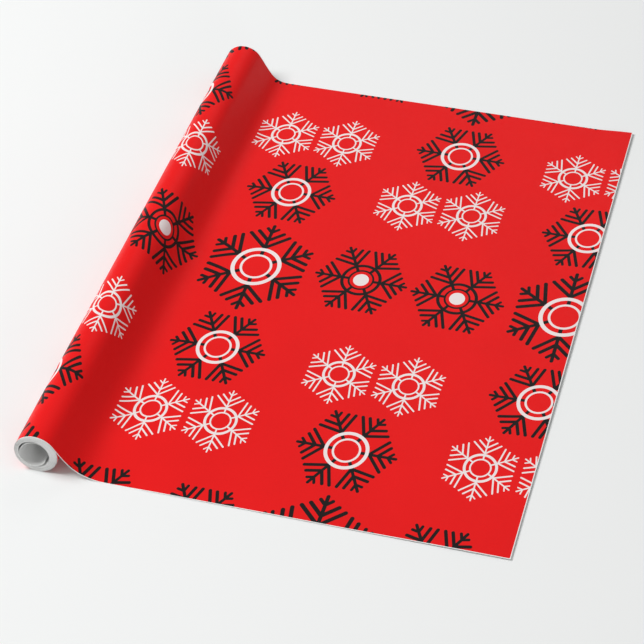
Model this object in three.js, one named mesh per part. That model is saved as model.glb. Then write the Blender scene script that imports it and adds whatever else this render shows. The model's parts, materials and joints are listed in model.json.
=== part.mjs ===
// A coreless roll of gift wrap, partly unrolled: one long sheet of printed paper. It is wound into a
// roll, leaves the roll over its upper right side, comes down to the table in a soft S-curve, and
// lies flat as far as its free edge.
//
// Frame, in millimetres: +Y runs along the roll, +X from the roll to the free edge, +Z up.
// The origin is under the middle of the whole object, on the table.
//
// Angles round the roll are measured from straight up towards +X. Followed inward from the S-curve,
// the paper goes the other way round, so each winding runs towards smaller angles.

import * as THREE from 'three';

// Driving dimensions
const SHEET_WIDTH = 762;           // the width of the paper, which is the length of the roll
const AXIS_TO_FREE_EDGE = 509;     // from the roll's axis, level, to the free edge
const ROLL_RADIUS = 24.5;          // outside of the outermost turn, where the paper leaves it
const PAPER = 0.5;                 // thickness that stands in for real paper of about 0.1 mm
const GAP = 0.3;                   // free space between two layers of paper
const LEAVE_ANGLE = 58.5;          // degrees: where the paper leaves the roll
const S_CURVE_LENGTH = 78;         // level distance from the roll's axis to the foot of the S-curve
const UPPER_PULL = 34;             // how long the S-curve keeps the slope of the roll
const LOWER_PULL = 37;             // how long it keeps the level of the table
const FOOT_TAIL = 24;              // flat stretch of paper just past the foot of the S-curve
const OUTER_TURN_SWEEP = 350;      // degrees: one outer turn, ending just short of its own start
const COIL_TURNS = 3;              // full turns of the winding inside the outer turn
const INNER_TURNS = 1.8;           // turns of the inner end of the sheet, which line the hollow
const COIL_SHRINK = 1.2;           // how much smaller each of those turns is than the one round it
const COIL_DRIFT = 0.38;           // how far each one sits to the side away from the S-curve
const HANDOVER = 10;               // degrees left open between the outer turn, the coil and its end
const STEPS_PER_TURN = 60;
const S_CURVE_STEPS = 28;

// Derived dimensions
const PITCH = PAPER + GAP;
const OUTER_RADIUS = ROLL_RADIUS - PAPER / 2;
const LEFT_RADIUS = ROLL_RADIUS - PITCH * (LEAVE_ANGLE + 90) / 360;
const ROLL_X = (LEFT_RADIUS - AXIS_TO_FREE_EDGE) / 2;
const ROLL_Z = ROLL_RADIUS - PITCH * (LEAVE_ANGLE + 180) / 360;
const FREE_EDGE_X = ROLL_X + AXIS_TO_FREE_EDGE;
const FOOT_X = ROLL_X + S_CURVE_LENGTH;
const TAIL_X = FOOT_X + FOOT_TAIL;
const TABLE_Z = PAPER / 2;

const radians = THREE.MathUtils.degToRad;

// The point at an angle and distance from the roll's axis, with the axis moved sideways by shift.
function roundRoll(angle, radius, shift = 0) {
  const turn = radians(angle);
  return new THREE.Vector2(ROLL_X + shift + radius * Math.sin(turn), ROLL_Z + radius * Math.cos(turn));
}

// The middle line of a stretch of paper that winds inward, from one count of turns to another. place
// gives the point where the paper is after any count of turns.
function windingLine(fromTurn, toTurn, place) {
  const steps = Math.round((toTurn - fromTurn) * STEPS_PER_TURN);
  const line = [];
  for (let i = 0; i <= steps; i++) {
    line.push(place(fromTurn + (toTurn - fromTurn) * i / steps));
  }
  return line;
}

// A band of paper: the middle line thickened by half the paper on each side, and run across the
// whole width of the sheet.
function paperBand(line) {
  const left = [];
  const right = [];
  line.forEach((point, i) => {
    const before = line[Math.max(i - 1, 0)];
    const after = line[Math.min(i + 1, line.length - 1)];
    const along = after.clone().sub(before).normalize();
    const side = new THREE.Vector2(-along.y, along.x).multiplyScalar(PAPER / 2);
    left.push(point.clone().add(side));
    right.push(point.clone().sub(side));
  });
  const outline = new THREE.Shape([...left, ...right.reverse()]);
  const geometry = new THREE.ExtrudeGeometry(outline, { depth: SHEET_WIDTH, bevelEnabled: false });
  geometry.rotateX(Math.PI / 2);
  geometry.translate(0, SHEET_WIDTH / 2, 0);
  return geometry;
}

// The outermost turn, from the place where the paper leaves the roll, once round the winding.
function outerTurn() {
  const place = (turn) => roundRoll(LEAVE_ANGLE - 360 * turn, OUTER_RADIUS - PITCH * turn);
  return paperBand(windingLine(0, OUTER_TURN_SWEEP / 360, place));
}

// The S-curve from the roll down to the table, with the short flat tail past its foot. It starts one
// gap past the end of the outermost turn.
function lead() {
  const slope = radians(LEAVE_ANGLE);
  const down = new THREE.Vector2(Math.cos(slope), -Math.sin(slope));
  const start = roundRoll(LEAVE_ANGLE, OUTER_RADIUS).addScaledVector(down, GAP);
  const foot = new THREE.Vector2(FOOT_X, TABLE_Z);
  const curve = new THREE.CubicBezierCurve(
    start,
    start.clone().addScaledVector(down, UPPER_PULL),
    foot.clone().sub(new THREE.Vector2(LOWER_PULL, 0)),
    foot,
  );
  return paperBand([...curve.getSpacedPoints(S_CURVE_STEPS), new THREE.Vector2(TAIL_X, TABLE_Z)]);
}

// The part of the sheet that lies flat, as far as the free edge.
function flatSheet() {
  return paperBand([new THREE.Vector2(TAIL_X + GAP, TABLE_Z), new THREE.Vector2(FREE_EDGE_X, TABLE_Z)]);
}

// Inside the outermost turn the winding gets smaller and drifts sideways turn by turn, so the hollow
// is off centre. It stays in a cylinder all the same, and can turn freely in the outermost turn.
const COIL_START = LEAVE_ANGLE - OUTER_TURN_SWEEP - HANDOVER;
const COIL_RADIUS = OUTER_RADIUS - PITCH * OUTER_TURN_SWEEP / 360 - PITCH;
function coilPlace(turn) {
  return roundRoll(COIL_START - 360 * turn, COIL_RADIUS - COIL_SHRINK * turn, -COIL_DRIFT * turn);
}

// The winding itself.
function woundCoil() {
  return paperBand(windingLine(0, COIL_TURNS, coilPlace));
}

// The inner end of the sheet, which lines the hollow and ends in a free edge.
function innerTurns() {
  const start = COIL_TURNS + HANDOVER / 360;
  return paperBand(windingLine(start, start + INNER_TURNS, coilPlace));
}

const PRINTED_RED = 0xe52426;
const PAPER_WHITE = 0xe9e9e6;

function piece(name, geometry, color, roughness) {
  const material = new THREE.MeshStandardMaterial({ color, roughness, metalness: 0 });
  const mesh = new THREE.Mesh(geometry, material);
  mesh.name = name;
  return mesh;
}

const wrappingPaperRoll = new THREE.Group();
wrappingPaperRoll.add(
  piece('flat_sheet', flatSheet(), PRINTED_RED, 0.45),
  piece('lead', lead(), PRINTED_RED, 0.45),
  piece('outer_turn', outerTurn(), PRINTED_RED, 0.45),
  piece('wound_coil', woundCoil(), PAPER_WHITE, 0.8),
  piece('inner_turns', innerTurns(), PAPER_WHITE, 0.8),
);

export default wrappingPaperRoll;
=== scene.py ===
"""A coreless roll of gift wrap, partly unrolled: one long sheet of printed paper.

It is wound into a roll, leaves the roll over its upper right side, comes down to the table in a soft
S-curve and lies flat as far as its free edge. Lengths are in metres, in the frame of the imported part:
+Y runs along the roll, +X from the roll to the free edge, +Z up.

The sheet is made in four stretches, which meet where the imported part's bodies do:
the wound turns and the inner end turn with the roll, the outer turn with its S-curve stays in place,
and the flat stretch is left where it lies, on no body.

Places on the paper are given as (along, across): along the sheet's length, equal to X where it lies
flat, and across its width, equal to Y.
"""

import json
import math
from collections import namedtuple

import bpy
from mathutils import Euler, Matrix, Vector, noise


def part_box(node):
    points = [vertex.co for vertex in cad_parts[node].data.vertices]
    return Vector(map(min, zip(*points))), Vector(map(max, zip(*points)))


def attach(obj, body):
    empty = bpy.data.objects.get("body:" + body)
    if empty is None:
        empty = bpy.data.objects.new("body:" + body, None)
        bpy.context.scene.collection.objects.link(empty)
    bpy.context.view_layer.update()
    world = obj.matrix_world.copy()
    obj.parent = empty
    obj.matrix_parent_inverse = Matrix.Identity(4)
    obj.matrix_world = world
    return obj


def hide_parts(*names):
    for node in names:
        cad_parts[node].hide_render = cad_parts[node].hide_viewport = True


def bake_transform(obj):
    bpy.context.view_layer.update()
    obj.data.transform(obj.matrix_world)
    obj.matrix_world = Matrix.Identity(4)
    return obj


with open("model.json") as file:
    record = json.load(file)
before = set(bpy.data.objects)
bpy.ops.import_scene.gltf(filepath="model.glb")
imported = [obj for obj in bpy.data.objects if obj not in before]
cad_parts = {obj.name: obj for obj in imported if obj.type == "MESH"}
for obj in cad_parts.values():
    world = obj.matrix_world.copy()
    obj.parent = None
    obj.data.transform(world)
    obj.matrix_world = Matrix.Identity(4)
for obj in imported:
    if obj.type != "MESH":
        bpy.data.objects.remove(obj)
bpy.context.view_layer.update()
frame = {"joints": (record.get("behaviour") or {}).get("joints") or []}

# The roll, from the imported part
ROLL_TURN = next(joint for joint in frame["joints"] if joint["name"] == "roll_turn")
AXIS_X, _, AXIS_Z = ROLL_TURN["pos_m"]
TAIL_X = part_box("lead")[1].x              # where the S-curve's flat tail meets the flat stretch
FREE_EDGE_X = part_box("flat_sheet")[1].x
SHEET_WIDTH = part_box("flat_sheet")[1].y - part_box("flat_sheet")[0].y

# The sheet
SHEET_LENGTH = 4.572                      # 15 feet, a usual length for a roll of this width
PAPER = 0.00018                           # thickness of one layer
MARGIN = 0.0009                           # unprinted strip along each cut edge

# The path of the paper. Angles are in degrees from straight up towards +X.
LEAVE_ANGLE = 58.5                        # where the paper leaves the roll
OUTER_SWEEP = 350                         # the outer turn ends just short of its own start
OUTER_SHRINK = 0.0003                     # how much smaller the outer turn gets in one turn
FOOT_TAIL = 0.024                         # flat tail past the foot of the S-curve
UPPER_PULL = 0.034                        # how long the S-curve keeps the slope of the roll
LOWER_PULL = 0.037                        # how long it keeps the level of the table
FOOT_FULLNESS = 0.0025                    # how much higher the foot is at its near edge than midway
FOOT_RISES = (0.030, 0.062)               # where this grows up the S-curve from the tail's end,
FOOT_FALLS = (0.062, 0.096)               # and where it dies away
WOUND_GAP = 0.0001                        # free space between the outer turn and the winding
HOLLOW_RADIUS = 0.0176                    # inside of the winding, before the inner end lines it
HOLLOW_DRIFT = -0.0021                    # how far the hollow's axis is from the roll's, along X
HOLLOW_DROP = -0.0003                     # and upwards
FILL = 0.8                                # share of the spacing between turns that the paper takes
INNER_TURNS = 1.75
INNER_GAP = 0.0001                        # between the winding and the inner end
INNER_SHRINK = 0.00035                    # how much smaller each inner turn is
INNER_MEAN_GAP = 0.0005                   # about how far its turns are from the winding on average
INNER_STANDS_OUT = 0.0012                 # how far the inner end stands out of the roll's near end
FREE_END_ANGLE = 130                      # where the inner end of the sheet stops
CRESCENT_ANGLE = 315                      # middle of the stretch where it stands off the winding
CRESCENT_REACH = 75                       # how far that stretch goes each way
CRESCENT = 0.0021
FREE_EDGE_GAP = 0.0020                    # how far its free edge stands off
FREE_EDGE_REACH = 70                      # how far back from the edge that starts

# How the flat stretch lies: its near corner stands clear of the table, and its cut edges a little
CORNER_LIFT = 0.0017
CORNER_FROM = (0.074, 0.0)                # where the rise starts along X, and along Y
CORNER_FULL_X = 0.224
EDGE_LIFT = 0.0026
EDGE_REACH = 0.05
NEAR_EDGE_LIFT = 0.0005
NEAR_EDGE_REACH = 0.03
RIPPLE = 0.0003
RIPPLES = (9, 5)                          # per metre, along X and along Y
RIPPLE_SEED = 2.5

# How far the layers stand out of line at the roll's ends: depth, changes per turn, and seed
WANDER = ((0.0010, 0.33, 0.3), (0.0003, 2.1, 7.7))
INNER_WANDER_START = 40                   # the inner end's count of turns for this

# How closely the sheet follows its path
ROW_STEPS = 30
STEPS_PER_TURN = 72
OUTER_TURN_STEP = 3                       # degrees
CURVE_STEPS = 48
TAIL_STEPS = 4
FLAT_STEPS = 70
SHARP_ANGLE = 50                          # degrees: only the cut edges are sharper

# The print. Snowflakes repeat on a half-drop lattice. Sizes are before the print is squeezed.
PRINT_REPEAT = (0.437, 0.8454)
PRINT_SQUEEZE = 0.8393                    # how much narrower the print is along the sheet
PRINT_ORIGIN = (-0.1171, 0.0069)          # the middle of a large snowflake
PRINT_TURN = 0.18                         # degrees between the print and the sheet
PRINT_CROWDING = (0.15, 0.075)            # the print's rows close up a little this far from its middle
PRINT_DRIFT = 0.008                       # how far the print runs to one side on the S-curve
DRIFT_GROWS = (0.01, 0.075)               # where, up the S-curve from the tail's end,
DRIFT_FADES = (0.095, 0.145)              # and where it runs back, round the roll
RED_INK = (0.81, 0.0075, 0.008, 1)
BLACK_INK = (0.012, 0.009, 0.009, 1)
WHITE_INK = (0.87, 0.79, 0.78, 1)
BARE_PAPER = (0.89, 0.89, 0.88, 1)

# A snowflake's place from its lattice point; whether it is mirrored both ways about that point; its
# radius; whether one of its arms points across the sheet; and its inks.
Flake = namedtuple("Flake", "along across mirrored radius upright white dotted")
FLAKES = (
    Flake(0, 0, True, 0.0807, 1, 0, 0),
    Flake(0, 0.1492, True, 0.0661, 0, 0, 0),
    Flake(0.0473, 0.2641, True, 0.0504, 1, 1, 0),
    Flake(0.1495, 0.0068, False, 0.0655, 0, 0, 1),
    Flake(-0.1499, 0.0023, False, 0.0655, 0, 0, 1),
)

# One twelfth of a snowflake whose arm points along +X, in parts of its radius: start, end, half width
STROKES = (
    ((0.430, 0.0), (0.975, 0.0), 0.029),
    ((0.447, 0.0), (0.750, 0.349), 0.0315),
    ((0.622, 0.0), (0.820, 0.225), 0.0315),
    ((0.818, 0.0), (0.906, 0.098), 0.027),
    ((0.280, 0.0), (0.370, 0.0), 0.031),
)
BLACK_SPREAD = 0.0025                     # how much wider than listed a black stroke is, each way
WHITE_SPREAD = -0.0095
RINGS = ((0.400, 0.0355), (0.258, 0.0215)) # middle radius and half thickness of each ring
DOT_RADIUS = 0.165

# Unevenness of a surface: spots per metre, its lowest and highest usual value, and noise detail
Uneven = namedtuple("Uneven", "scale low high detail", defaults=(3.0,))
INK_CLOUDS = Uneven(9, 0.97, 1.03, 4.0)
INK_MOTTLE = Uneven(700, 0.98, 1.02, 2.0)
INK_ROUGHNESS = Uneven(160, 0.40, 0.50)
INK_SPECULAR = 0.12
INK_FIBRES = 0.10                         # strength of the fibres' relief
PAINTED_SHADE_RINGS = Uneven(1.3, 0.84, 1.02)      # painted shade along the sheet, in spots per metre of its length: darker bands that stand for shadow lines between groups of turns in the roll's end
BARE_MOTTLE = Uneven(900, 0.96, 1.02, 4.0)
BARE_CLOUDS = Uneven(30, 0.98, 1.02)
BARE_ROUGHNESS = Uneven(400, 0.75, 0.88)
BARE_SPECULAR = 0.3
BARE_FIBRES = 0.20
FIBRES_PER_METRE = 2600
COCKLES_PER_METRE = 55
COCKLE = 4.0                              # height of a cockle, against a fibre's
FIBRE_HEIGHT = 0.00006

# The stage, the lights and the camera
FLOOR_HALF = 12
FLOOR_COLOUR = (0.90, 0.91, 0.905)
FLOOR_TONE = Uneven(1.5, 0.995, 1.005)
FLOOR_ROUGHNESS = 0.9
SURROUND = 0.335
Light = namedtuple("Light", "name place aim size watts")
LIGHTS = (
    Light("key", (-3.0, -0.6, 3.9), (-0.05, 0, 0), 2.2, 184),
    Light("back", (-0.2, 2.3, 1.8), (0, 0, 0), 1.4, 5),
    Light("fill", (1.6, -2.4, 0.45), (-0.2, -0.3, 0), 0.9, 15),
)
CAMERA_AZIMUTH, CAMERA_ELEVATION, CAMERA_ROLL = 15.66, 40.37, -0.57
CAMERA_AIM = (-0.0157, -0.0704, 0)
CAMERA_DISTANCE = 2.5505
CAMERA_LENS = 125.3                       # millimetres, on a sensor this wide
CAMERA_SENSOR = 36
CAMERA_FAR = 100


# ---------------------------------------------------------------- shader nodes

class Shader:
    """The nodes of one material. Each method adds a node and gives its output."""

    OUTPUTS = {"FLOAT": 0, "VECTOR": 1, "RGBA": 2}
    FIRST_INPUT = {"FLOAT": 2, "VECTOR": 4, "RGBA": 6}

    def __init__(self, name):
        self.material = bpy.data.materials.new(name)
        self.material.use_nodes = True
        self.tree = self.material.node_tree
        self.surface = self.tree.nodes["Principled BSDF"]

    def feed(self, socket, value):
        if isinstance(value, bpy.types.NodeSocket):
            self.tree.links.new(value, socket)
        else:
            socket.default_value = value

    def node(self, kind, inputs=(), **settings):
        added = self.tree.nodes.new(kind)
        for name, value in settings.items():
            setattr(added, name, value)
        for socket, value in zip(added.inputs, inputs):
            self.feed(socket, value)
        return added

    def math(self, operation, *inputs, clamp=False):
        return self.node("ShaderNodeMath", inputs, operation=operation, use_clamp=clamp).outputs[0]

    def vector(self, operation, *inputs):
        return self.node("ShaderNodeVectorMath", inputs, operation=operation).outputs["Vector"]

    def measure(self, operation, *inputs):
        return self.node("ShaderNodeVectorMath", inputs, operation=operation).outputs["Value"]

    def mix(self, kind, factor, a, b):
        added = self.node("ShaderNodeMix", (factor,), data_type=kind)
        first = self.FIRST_INPUT[kind]
        self.feed(added.inputs[first], a)
        self.feed(added.inputs[first + 1], b)
        return added.outputs[self.OUTPUTS[kind]]

    def parts(self, vector):
        return self.node("ShaderNodeSeparateXYZ", (vector,)).outputs

    def join(self, x, y, z=0.0):
        return self.node("ShaderNodeCombineXYZ", (x, y, z)).outputs[0]

    def position(self):
        return self.node("ShaderNodeTexCoord").outputs["Object"]

    def attribute(self, name):
        return self.node("ShaderNodeAttribute", attribute_name=name).outputs["Vector"]

    def noise(self, where, scale, detail=3.0, roughness=0.55):
        added = self.node("ShaderNodeTexNoise")
        for name, value in (("Vector", where), ("Scale", scale), ("Detail", detail),
                            ("Roughness", roughness)):
            self.feed(added.inputs[name], value)
        return added.outputs[0]

    def spread(self, value, low, high):
        """value, from about 0.3 to 0.7 as noise gives it, spread over low to high."""
        added = self.node("ShaderNodeMapRange", (value, 0.3, 0.7, low, high), clamp=False)
        return added.outputs[0]

    def uneven(self, kind, where=None):
        """The unevenness of that kind, in space or at another place."""
        place = self.position() if where is None else where
        return self.spread(self.noise(place, kind.scale, detail=kind.detail), kind.low, kind.high)

    def scaled(self, colour, level):
        return self.vector("SCALE", colour, (0, 0, 0), (0, 0, 0), level)


def nearest_flake(s, where):
    """For a place on the print: the place within the nearest snowflake, in parts of its radius, and
    (upright, white, dotted) for that snowflake, as a vector."""
    best_place, best_kind, best_distance = (0.0, 0.0, 0.0), (0.0, 0.0, 0.0), 10.0
    half = Vector((PRINT_REPEAT[0] / 2, PRINT_REPEAT[1] / 2, 1))
    for drop in (Vector((0, 0, 0)), Vector((half.x, half.y, 0))):
        cell = s.vector("WRAP", s.vector("ADD", where, drop), half, -half)
        folded = {True: s.vector("ABSOLUTE", cell), False: cell}
        for flake in FLAKES:
            size = 1 / flake.radius
            middle = Vector((-flake.along * size, -flake.across * size, 0))
            place = s.vector("MULTIPLY_ADD", folded[flake.mirrored], (size, size, 0.0), middle)
            distance = s.measure("LENGTH", place)
            nearer = s.math("LESS_THAN", distance, best_distance)
            kind = (float(flake.upright), float(flake.white), float(flake.dotted))
            best_place = s.mix("VECTOR", nearer, best_place, place)
            best_kind = s.mix("VECTOR", nearer, best_kind, kind)
            best_distance = s.math("MINIMUM", distance, best_distance)
    return best_place, best_kind


def fold_to_arm(s, place, upright):
    """Folds the six arms of a snowflake, and both sides of each, onto one side of the arm along +X."""
    x, y, _ = s.parts(s.vector("ABSOLUTE", place))
    turned = s.mix("VECTOR", upright, s.join(x, y), s.join(y, x))
    half_gap = math.radians(30)
    mirror = Vector((-math.sin(half_gap), math.cos(half_gap), 0))
    beyond = s.math("MAXIMUM", s.measure("DOT_PRODUCT", turned, mirror), 0.0)
    return s.vector("ABSOLUTE", s.vector("MULTIPLY_ADD", beyond, -2 * mirror, turned))


def stroke_distance(s, place, start, end, half_width):
    """How far a place is outside a stroke with round ends; inside, it is negative."""
    start, end = Vector((*start, 0)), Vector((*end, 0))
    line = end - start
    offset = s.vector("SUBTRACT", place, start)
    share = s.math("ADD", s.measure("DOT_PRODUCT", offset, line / line.length_squared), 0.0, clamp=True)
    across = s.measure("LENGTH", s.vector("MULTIPLY_ADD", share, -line, offset))
    return s.math("SUBTRACT", across, half_width)


def snowflake_print(s, where):
    """The colour of the print: a red ground with black and white snowflakes."""
    past, crowding = PRINT_CROWDING
    near = s.math("MAXIMUM", s.math("SUBTRACT", -past, s.parts(where)[1]), 0.0)
    crowded = s.join(0.0, s.math("MULTIPLY", s.math("MULTIPLY", near, near), crowding))
    turn = Euler((0, 0, math.radians(PRINT_TURN))).to_matrix()
    from_origin = s.vector("SUBTRACT", s.vector("ADD", where, crowded), Vector((*PRINT_ORIGIN, 0)))
    along = s.measure("DOT_PRODUCT", from_origin, Vector(turn[0]) / PRINT_SQUEEZE)
    across = s.measure("DOT_PRODUCT", from_origin, Vector(turn[1]))
    place, kind = nearest_flake(s, s.join(along, across))
    upright, white, dotted = s.parts(kind)
    folded = fold_to_arm(s, place, upright)
    drawn = 1.0
    for stroke in STROKES:
        drawn = s.math("MINIMUM", drawn, stroke_distance(s, folded, *stroke))
    spread = s.mix("FLOAT", white, BLACK_SPREAD, WHITE_SPREAD)
    drawn = s.math("LESS_THAN", drawn, spread)

    radius = s.measure("LENGTH", place)
    ringed = 0.0
    for middle, half in RINGS:
        ringed = s.math("MAXIMUM", ringed, s.math("COMPARE", radius, middle, half))
    dot = s.math("MULTIPLY", dotted, s.math("LESS_THAN", radius, DOT_RADIUS))

    ink = s.mix("RGBA", white, BLACK_INK, WHITE_INK)
    ring_ink = s.mix("RGBA", dotted, WHITE_INK, BLACK_INK)
    colour = s.mix("RGBA", drawn, RED_INK, ink)
    colour = s.mix("RGBA", ringed, colour, ring_ink)
    return s.mix("RGBA", dot, colour, WHITE_INK)


def fibres(s, strength):
    """The faint unevenness of paper, as a bump: fibres, and a wider cockle."""
    fine = s.noise(s.position(), FIBRES_PER_METRE, detail=4.0, roughness=0.7)
    wide = s.noise(s.position(), COCKLES_PER_METRE, detail=2.0)
    bump = s.node("ShaderNodeBump")
    bump.inputs["Strength"].default_value = strength
    bump.inputs["Distance"].default_value = FIBRE_HEIGHT
    s.feed(bump.inputs["Height"], s.math("MULTIPLY_ADD", wide, COCKLE, fine))
    return bump.outputs[0]


def printed_paper(name, lies_flat):
    """The printed face: even ink with a soft gloss, and a bare strip along the cut edges. On the flat
    stretch the print comes from the place in space, so that it would not be stretched if it were drawn
    out."""
    s = Shader(name)
    on_sheet = s.attribute("paper")
    where = s.position() if lies_flat else on_sheet
    inked = s.math("GREATER_THAN", s.parts(on_sheet)[2], MARGIN)
    level = s.math("MULTIPLY", s.uneven(INK_CLOUDS), s.uneven(INK_MOTTLE))
    colour = s.mix("RGBA", inked, BARE_PAPER, snowflake_print(s, where))
    s.feed(s.surface.inputs["Base Color"], s.scaled(colour, level))
    s.feed(s.surface.inputs["Roughness"], s.uneven(INK_ROUGHNESS))
    s.feed(s.surface.inputs["Normal"], fibres(s, INK_FIBRES))
    s.surface.inputs["Specular IOR Level"].default_value = INK_SPECULAR
    return s.material


def bare_paper():
    """The unprinted back and the cut edges: white and matt, with faint fibres. Broad bands along the
    sheet are darkened as painted shade, which in the end of the roll stands for shadow lines between
    groups of turns."""
    s = Shader("bare_paper")
    along = s.parts(s.attribute("paper"))[0]
    # painted shade: broad darker bands along the sheet, on the back and the cut edges, standing for
    # shadow lines between groups of turns in the roll's end
    painted_shade_rings = s.uneven(PAINTED_SHADE_RINGS, s.join(along, 0.0))
    spots = s.math("MULTIPLY", s.uneven(BARE_MOTTLE), s.uneven(BARE_CLOUDS))
    level = s.math("MULTIPLY", spots, painted_shade_rings)
    s.feed(s.surface.inputs["Base Color"], s.scaled(BARE_PAPER[:3], level))
    s.feed(s.surface.inputs["Roughness"], s.uneven(BARE_ROUGHNESS))
    s.feed(s.surface.inputs["Normal"], fibres(s, BARE_FIBRES))
    s.surface.inputs["Specular IOR Level"].default_value = BARE_SPECULAR
    return s.material


# ---------------------------------------------------------------- paper

# A place along the middle line of a stretch of paper, with the thickness there and how far the
# sheet's edges are pushed along Y.
Station = namedtuple("Station", "x z along thickness push", defaults=(PAPER, 0.0))


def smooth(value, low, high):
    share = min(max((value - low) / (high - low), 0), 1)
    return share * share * (3 - 2 * share)


def rows():
    """The lines across the sheet's width, closer together along the cut edges."""
    half = SHEET_WIDTH / 2
    inner = half - 2 * MARGIN
    return [-half, *(inner * (2 * i / ROW_STEPS - 1) for i in range(ROW_STEPS + 1)), half]


def measured(points, end_along):
    """Stations through the points, whose place along the sheet ends at end_along."""
    lengths = [0.0]
    for a, b in zip(points, points[1:]):
        lengths.append(lengths[-1] + math.dist(a[:2], b[:2]))
    start = end_along - lengths[-1]
    return [Station(p[0], p[1], start + length, *p[2:]) for p, length in zip(points, lengths)]


def paper_mesh(name, stations, place, from_edge, materials):
    """A closed sheet of paper: its middle surface thickened both ways along its own normal. The first
    material is on the printed side, and the second on the back and the cut edges."""
    across = rows()
    middle = [[place(station, y) for y in across] for station in stations]
    last, side = len(stations) - 1, len(across) - 1

    def offset(i, j):
        along = middle[min(i + 1, last)][j] - middle[max(i - 1, 0)][j]
        over = middle[i][min(j + 1, side)] - middle[i][max(j - 1, 0)]
        return along.cross(over).normalized() * stations[i].thickness / 2

    offsets = [[offset(i, j) for j in range(side + 1)] for i in range(last + 1)]
    points = []
    on_paper = []
    for sign in (1, -1):
        for i, station in enumerate(stations):
            for j, y in enumerate(across):
                points.append(middle[i][j] + sign * offsets[i][j])
                cut = min(SHEET_WIDTH / 2 - abs(y), from_edge(station))
                on_paper += (station.along, printed_across(station, middle[i][j].y), cut)

    def front(i, j):
        return i * (side + 1) + j

    back = (last + 1) * (side + 1)
    faces = []
    for i in range(last):
        for j in range(side):
            faces.append((front(i, j), front(i + 1, j), front(i + 1, j + 1), front(i, j + 1)))
    printed = len(faces)
    faces += [tuple(back + v for v in reversed(face)) for face in faces]
    for i in range(last):
        for j, a, b in ((0, i + 1, i), (side, i, i + 1)):
            faces.append((front(a, j), front(b, j), back + front(b, j), back + front(a, j)))
    for j in range(side):
        for i, a, b in ((0, j, j + 1), (last, j + 1, j)):
            faces.append((front(i, a), front(i, b), back + front(i, b), back + front(i, a)))

    mesh = bpy.data.meshes.new(name)
    mesh.from_pydata(points, [], faces)
    mesh.attributes.new("paper", "FLOAT_VECTOR", "POINT").data.foreach_set("vector", on_paper)
    for material in materials:
        mesh.materials.append(material)
    for polygon in mesh.polygons:
        polygon.material_index = 0 if polygon.index < printed else 1
        polygon.use_smooth = True
    mesh.set_sharp_from_angle(angle=math.radians(SHARP_ANGLE))
    mesh.validate()
    made = bpy.data.objects.new(name, mesh)
    bpy.context.scene.collection.objects.link(made)
    return made


def printed_across(station, y):
    """Where on the print a place on the paper is: it runs to one side up the S-curve, and back again
    round the roll."""
    up = TAIL_X - station.along
    return y + PRINT_DRIFT * (smooth(up, *DRIFT_GROWS) - smooth(up, *DRIFT_FADES))


def round_roll(angle, radius, drift=0.0):
    """A place round the roll's axis, or round a middle that drifts from it towards the hollow's."""
    turn = math.radians(angle)
    return (AXIS_X + HOLLOW_DRIFT * drift + radius * math.sin(turn),
            AXIS_Z + HOLLOW_DROP * drift + radius * math.cos(turn))


def outer_radius(angle):
    """Outside of the outer turn, which touches the table at -180 degrees."""
    return AXIS_Z + OUTER_SHRINK * (angle + 180) / 360


def bezier(a, b, c, d, steps):
    """Points along a cubic curve, without its first."""
    for i in range(1, steps + 1):
        t = i / steps
        k = (1 - t) ** 3, 3 * t * (1 - t) ** 2, 3 * t * t * (1 - t), t ** 3
        yield k[0] * a + k[1] * b + k[2] * c + k[3] * d


def outer_line():
    """From the hidden end of the outer turn, round the roll, and down the S-curve to the tail's end."""
    steps = round(OUTER_SWEEP / OUTER_TURN_STEP)
    angles = [LEAVE_ANGLE - OUTER_SWEEP * (1 - i / steps) for i in range(steps + 1)]
    points = [round_roll(a, outer_radius(a) - PAPER / 2) for a in angles]
    slope = math.radians(LEAVE_ANGLE)
    start = Vector(points[-1])
    foot = Vector((TAIL_X - FOOT_TAIL, PAPER / 2))
    down = Vector((math.cos(slope), -math.sin(slope)))
    curve = bezier(start, start + UPPER_PULL * down, foot - Vector((LOWER_PULL, 0)), foot, CURVE_STEPS)
    points += [tuple(p) for p in curve]
    points += [(foot.x + FOOT_TAIL * (i + 1) / TAIL_STEPS, foot.y) for i in range(TAIL_STEPS)]
    return measured(points, TAIL_X)


def flat_line():
    """From the tail's end to the free edge."""
    length = FREE_EDGE_X - 2 * MARGIN - TAIL_X
    xs = [TAIL_X + length * i / FLAT_STEPS for i in range(FLAT_STEPS + 1)] + [FREE_EDGE_X]
    return [Station(x, PAPER / 2, x) for x in xs]


def wound_line(length, start_radius, end_along):
    """The winding: a spiral whose turns drift sideways as they get smaller, so that the hollow is off
    centre. It has as many turns as its length of paper makes."""
    turns = length / (math.pi * (start_radius + HOLLOW_RADIUS))
    shrink = (start_radius - HOLLOW_RADIUS) / turns
    start_angle = FREE_END_ANGLE + 360 * (turns + INNER_TURNS)
    steps = round(STEPS_PER_TURN * turns)
    points = []
    for i in range(steps, -1, -1):
        turn = turns * i / steps
        angle = start_angle - 360 * turn
        over = math.radians(angle)
        spacing = shrink - (HOLLOW_DRIFT * math.sin(over) + HOLLOW_DROP * math.cos(over)) / turns
        x, z = round_roll(angle, start_radius - shrink * turn, turn / turns)
        points.append((x, z, FILL * spacing, wander(turn)))
    return measured(points, end_along)


def wander(turn):
    """How far the sheet's edges are pushed along the roll after a count of turns."""
    return sum(depth * noise.noise((turn * rate, seed, 0)) for depth, rate, seed in WANDER)


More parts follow.
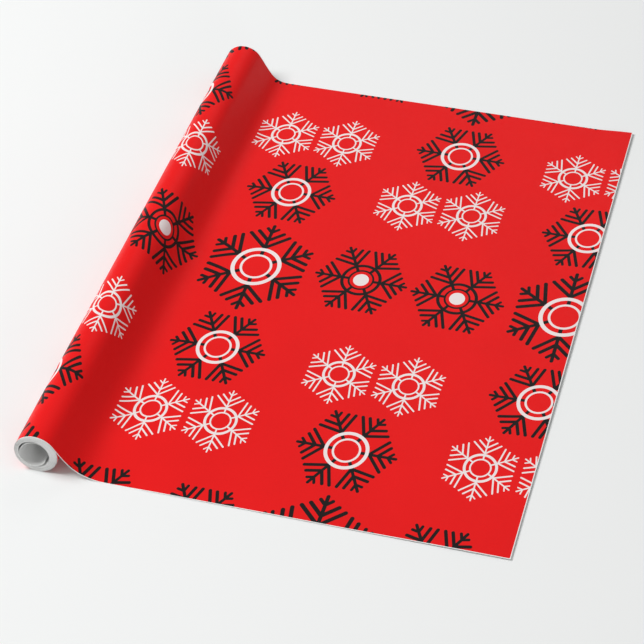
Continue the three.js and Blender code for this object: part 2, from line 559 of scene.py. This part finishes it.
def inner_line(end_along):
    """The inner end of the sheet, which lines the hollow loosely and stops in a free edge. It stands off
    the winding at the upper left, and along its free edge."""
    steps = round(STEPS_PER_TURN * INNER_TURNS)
    points = []
    for i in range(steps, -1, -1):
        turn = INNER_TURNS * i / steps
        to_go = 360 * (INNER_TURNS - turn)
        from_crescent = abs(to_go - (CRESCENT_ANGLE - FREE_END_ANGLE))
        radius = HOLLOW_RADIUS - INNER_GAP - INNER_SHRINK * turn
        radius -= CRESCENT * smooth(CRESCENT_REACH - from_crescent, 0, CRESCENT_REACH)
        radius -= FREE_EDGE_GAP * smooth(FREE_EDGE_REACH - to_go, 0, FREE_EDGE_REACH)
        x, z = round_roll(FREE_END_ANGLE + to_go, radius, 1)
        push = wander(INNER_WANDER_START + turn) - INNER_STANDS_OUT * turn / INNER_TURNS
        points.append((x, z, PAPER, push))
    return measured(points, end_along)


def on_roll(station, y):
    return Vector((station.x, y + station.push, station.z))


def on_curve(station, y):
    """As on the roll, but the foot of the S-curve is fuller at the near edge and tighter at the far."""
    up = TAIL_X - station.along
    foot = smooth(up, *FOOT_RISES) - smooth(up, *FOOT_FALLS)
    rise = -FOOT_FULLNESS * foot * 2 * y / SHEET_WIDTH
    return Vector((station.x, y, max(station.z + rise, PAPER / 2)))


def on_table(station, y):
    """The flat stretch lies on the table, apart from its near corner, its free edge and its near edge."""
    x, half = station.x, SHEET_WIDTH / 2
    near_corner = smooth(x, CORNER_FROM[0], CORNER_FULL_X) * smooth(-y, CORNER_FROM[1], half)
    at_edge = smooth(x, FREE_EDGE_X - EDGE_REACH, FREE_EDGE_X) * (1 - near_corner)
    at_near_edge = smooth(-y, half - NEAR_EDGE_REACH, half) * (1 - near_corner)
    ripple = 1 + noise.noise((x * RIPPLES[0], y * RIPPLES[1], RIPPLE_SEED))
    rise = CORNER_LIFT * near_corner + EDGE_LIFT * at_edge + RIPPLE * smooth(x, TAIL_X, 0) * ripple
    rise += NEAR_EDGE_LIFT * at_near_edge * smooth(x, TAIL_X, TAIL_X + NEAR_EDGE_REACH)
    return Vector((x, y, station.z + rise))


def far_from_end(station):
    return SHEET_WIDTH


def make_sheet():
    """All four stretches: the outer turn and S-curve ride on the paper path, the winding and the inner
    end on the roll, and the flat stretch is left on no body.
    """
    bare = bare_paper()
    wound_print = printed_paper("printed_paper", False)
    flat_print = printed_paper("printed_paper_flat", True)

    flat = paper_mesh("flat_stretch", flat_line(), on_table, lambda s: FREE_EDGE_X - s.x,
                      (flat_print, bare))
    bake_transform(flat)
    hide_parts("flat_sheet")
    flat_length = FREE_EDGE_X - TAIL_X

    line = outer_line()
    outer = paper_mesh("outer_turn_and_curve", line, on_curve, far_from_end, (wound_print, bare))
    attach(outer, "paper_path")
    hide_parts("outer_turn", "lead")
    outer_length = line[-1].along - line[0].along

    start_radius = outer_radius(LEAVE_ANGLE - OUTER_SWEEP) - PAPER - WOUND_GAP
    inner_length = 2 * math.pi * (HOLLOW_RADIUS - INNER_MEAN_GAP) * INNER_TURNS
    wound_length = SHEET_LENGTH - flat_length - outer_length - inner_length
    line = wound_line(wound_length, start_radius - PAPER / 2, line[0].along)
    wound = paper_mesh("wound_turns", line, on_roll, far_from_end, (wound_print, bare))
    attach(wound, "roll")
    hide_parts("wound_coil")

    line = inner_line(line[0].along)
    inner = paper_mesh("inner_end", line, on_roll, lambda s: s.along - line[0].along, (bare, bare))
    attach(inner, "roll")
    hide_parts("inner_turns")


# ---------------------------------------------------------------- stage, lights and camera

def make_floor():
    mesh = bpy.data.meshes.new("floor")
    corners = ((-1, -1), (1, -1), (1, 1), (-1, 1))
    mesh.from_pydata([(FLOOR_HALF * x, FLOOR_HALF * y, 0) for x, y in corners], [], [(0, 1, 2, 3)])
    floor = bpy.data.objects.new("floor", mesh)
    bpy.context.scene.collection.objects.link(floor)
    s = Shader("floor")
    s.feed(s.surface.inputs["Base Color"], s.scaled(FLOOR_COLOUR, s.uneven(FLOOR_TONE)))
    s.surface.inputs["Roughness"].default_value = FLOOR_ROUGHNESS
    s.surface.inputs["Specular IOR Level"].default_value = 0.0
    mesh.materials.append(s.material)


def make_light(wanted):
    """A soft square light that isn't itself seen."""
    light = bpy.data.lights.new(wanted.name, "AREA")
    light.size = wanted.size
    light.energy = wanted.watts
    made = bpy.data.objects.new(wanted.name, light)
    made.location = wanted.place
    towards = Vector(wanted.aim) - Vector(wanted.place)
    made.rotation_euler = towards.to_track_quat("-Z", "Y").to_euler()
    made.visible_camera = False
    bpy.context.scene.collection.objects.link(made)


def make_lights():
    """An even pale surround, a large soft light high on the roll's side, and two weak ones: low in
    front, for the roll's end, and behind, for a soft gloss on the flat stretch."""
    world = bpy.data.worlds.new("surround")
    world.use_nodes = True
    background = world.node_tree.nodes["Background"]
    background.inputs["Color"].default_value = (1.0, 1.0, 1.0, 1)
    background.inputs["Strength"].default_value = SURROUND
    bpy.context.scene.world = world
    for light in LIGHTS:
        make_light(light)


def make_camera():
    """Stands to the right of the roll's near end and looks down on the sheet."""
    azimuth, elevation, roll = (
        math.radians(angle) for angle in (CAMERA_AZIMUTH, CAMERA_ELEVATION, CAMERA_ROLL))
    level = math.cos(elevation)
    back = Vector((math.sin(azimuth) * level, -math.cos(azimuth) * level, math.sin(elevation)))
    camera = bpy.data.cameras.new("camera")
    camera.lens = CAMERA_LENS
    camera.sensor_width = CAMERA_SENSOR
    camera.clip_end = CAMERA_FAR
    made = bpy.data.objects.new("camera", camera)
    turn = back.to_track_quat("Z", "Y").to_matrix() @ Euler((0, 0, roll)).to_matrix()
    place = Vector(CAMERA_AIM) + CAMERA_DISTANCE * back
    made.matrix_world = Matrix.Translation(place) @ turn.to_4x4()
    bpy.context.scene.collection.objects.link(made)
    bpy.context.scene.camera = made


make_sheet()
make_floor()
make_lights()
make_camera()
bpy.context.scene.view_settings.view_transform = "Standard"
